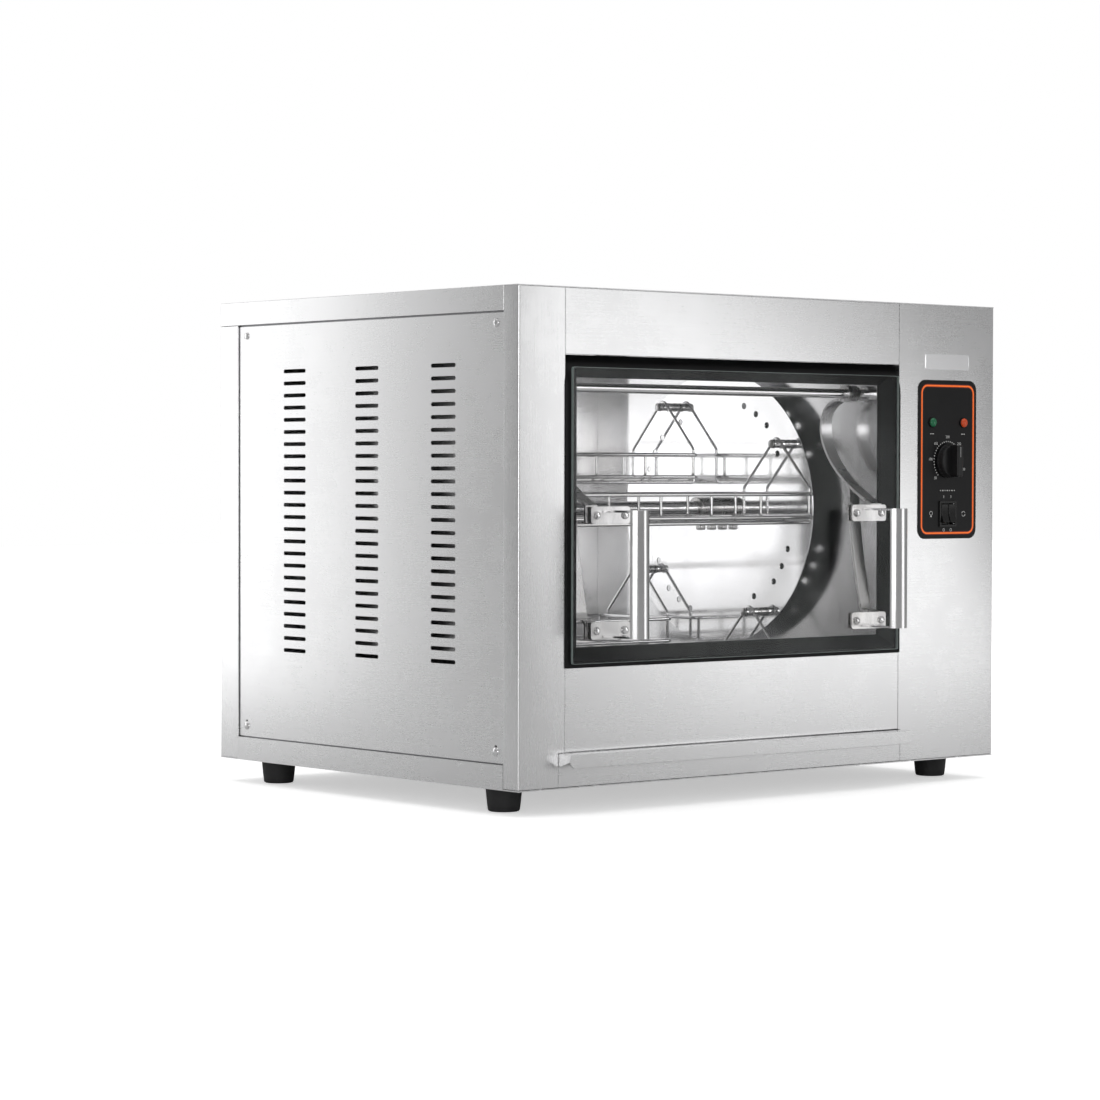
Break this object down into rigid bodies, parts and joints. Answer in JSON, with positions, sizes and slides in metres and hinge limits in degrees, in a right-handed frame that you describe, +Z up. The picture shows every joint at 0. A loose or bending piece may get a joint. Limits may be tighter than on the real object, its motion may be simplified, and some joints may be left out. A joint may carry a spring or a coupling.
{
  "type": "rotisserie oven",
  "caption": "Countertop rotisserie oven: steel cabinet, hinged glass door with bar handles, motor-driven rotor with hanging wire baskets, pull-out drip tray and side control panel.",
  "frame": {"origin": "on the table under the middle of the whole oven, door handles included", "axes": "+X to the right seen from the front, -Y out of the front, +Z up"},
  "size_m": [0.82, 0.686, 0.627],
  "materials": {
    "cabinet_steel": "satin brushed stainless, fine vertical grain",
    "panel_steel": "satin brushed stainless",
    "inner_steel": "plain sheet steel",
    "screw_steel": "bright zinc",
    "liner_steel": "polished stainless liner",
    "mirror_disc": "mirror polished",
    "polished_steel": "polished",
    "basket_wire": "bright wire",
    "element_sheath": "heat darkened",
    "black_frame": "black, semi-gloss",
    "foot_rubber": "matte",
    "control_black": "satin black with an orange border",
    "knob_black": "satin",
    "switch_black": "gloss",
    "green_lens": "clear green",
    "orange_lens": "clear orange",
    "badge_silver": "satin",
    "door_glass": "clear toughened",
    "lamp_lens": "frosted",
    "lamp_white": "opal",
    "motor_paint": "grey",
    "cast_housing": "machined",
    "thermostat_body": "cream",
    "terminal_plastic": "cream",
    "gland_plastic": "black"
  },
  "bodies": {
    "cabinet": {"base_pan": "cabinet_steel", "feet": "foot_rubber", "left_front_post": "cabinet_steel", "control_fascia": "cabinet_steel", "top_fascia": "cabinet_steel", "lower_fascia": "cabinet_steel", "top_cover": "cabinet_steel", "rear_posts": "cabinet_steel", "side_frames": "inner_steel", "left_side_panel": "panel_steel", "right_side_panel": "panel_steel", "back_panel": "panel_steel", "panel_screws": "screw_steel", "window_frame": "black_frame", "cavity_left_wall": "liner_steel", "cavity_right_wall": "liner_steel", "cavity_back_wall": "liner_steel", "cavity_ceiling": "liner_steel", "cavity_floor": "liner_steel", "tray_runners": "inner_steel", "heating_elements": "element_sheath", "heater_brackets": "liner_steel", "lamp_housing": "inner_steel", "lamp_bulb": "lamp_white", "lamp_glass": "lamp_lens", "rotor_bearings": "cast_housing", "hinge_bearings": "polished_steel", "gear_motor": "motor_paint", "motor_bracket": "inner_steel", "control_plate": "control_black", "green_lamp": "green_lens", "orange_lamp": "orange_lens", "thermostat": "thermostat_body", "switch_bezel": "switch_black", "switch_body": "switch_black", "name_badge": "badge_silver", "terminal_block": "terminal_plastic", "cord_gland": "gland_plastic"},
    "door": {"door_glass": "door_glass", "hinge_shaft": "polished_steel", "door_arms": "polished_steel", "clamp_plates": "polished_steel", "door_screws": "screw_steel", "left_handle": "polished_steel", "right_handle": "polished_steel"},
    "rotor": {"rotor_shaft": "polished_steel", "left_disc": "mirror_disc", "right_disc": "mirror_disc", "disc_hubs": "polished_steel", "hub_screws": "screw_steel", "basket_pins": "polished_steel", "drive_coupling": "cast_housing"},
    "drip_tray": {"drip_tray": "cabinet_steel"},
    "basket_1": {"basket_1": "basket_wire"},
    "basket_2": {"basket_2": "basket_wire"},
    "basket_3": {"basket_3": "basket_wire"},
    "basket_4": {"basket_4": "basket_wire"},
    "knob": {"knob": "knob_black"},
    "light_rocker": {"light_rocker": "switch_black"},
    "rotate_rocker": {"rotate_rocker": "switch_black"}
  },
  "joints": [
    {"name": "door_hinge", "type": "hinge", "parent": "cabinet", "child": "door", "pos_m": [-0.054, -0.223, 0.509], "axis": [-1, 0, 0], "range_deg": [0, 58]},
    {"name": "rotor_spin", "type": "hinge", "parent": "cabinet", "child": "rotor", "pos_m": [-0.054, 0.033, 0.358], "axis": [1, 0, 0], "continuous": true},
    {"name": "basket_1_swing", "type": "hinge", "parent": "rotor", "child": "basket_1", "pos_m": [-0.054, -0.10523, 0.44438], "axis": [1, 0, 0], "continuous": true},
    {"name": "basket_2_swing", "type": "hinge", "parent": "rotor", "child": "basket_2", "pos_m": [-0.054, 0.11938, 0.49623], "axis": [1, 0, 0], "continuous": true},
    {"name": "basket_3_swing", "type": "hinge", "parent": "rotor", "child": "basket_3", "pos_m": [-0.054, 0.17123, 0.27162], "axis": [1, 0, 0], "continuous": true},
    {"name": "basket_4_swing", "type": "hinge", "parent": "rotor", "child": "basket_4", "pos_m": [-0.054, -0.05338, 0.21977], "axis": [1, 0, 0], "continuous": true},
    {"name": "drip_tray_slide", "type": "slide", "parent": "cabinet", "child": "drip_tray", "axis": [0, -1, 0], "range_m": [0, 0.42]},
    {"name": "knob_turn", "type": "hinge", "parent": "cabinet", "child": "knob", "pos_m": [0.32, -0.283, 0.422], "axis": [0, 1, 0], "range_deg": [0, 270]},
    {"name": "light_rocker_tilt", "type": "hinge", "parent": "cabinet", "child": "light_rocker", "pos_m": [0.3132, -0.272, 0.3525], "axis": [1, 0, 0], "range_deg": [0, 16]},
    {"name": "rotate_rocker_tilt", "type": "hinge", "parent": "cabinet", "child": "rotate_rocker", "pos_m": [0.3268, -0.272, 0.3525], "axis": [1, 0, 0], "range_deg": [0, 16]}
  ],
  "couplings": [
    {"joint": "basket_1_swing", "follows": "rotor_spin", "ratio": -1},
    {"joint": "basket_2_swing", "follows": "rotor_spin", "ratio": -1},
    {"joint": "basket_3_swing", "follows": "rotor_spin", "ratio": -1},
    {"joint": "basket_4_swing", "follows": "rotor_spin", "ratio": -1}
  ]
}
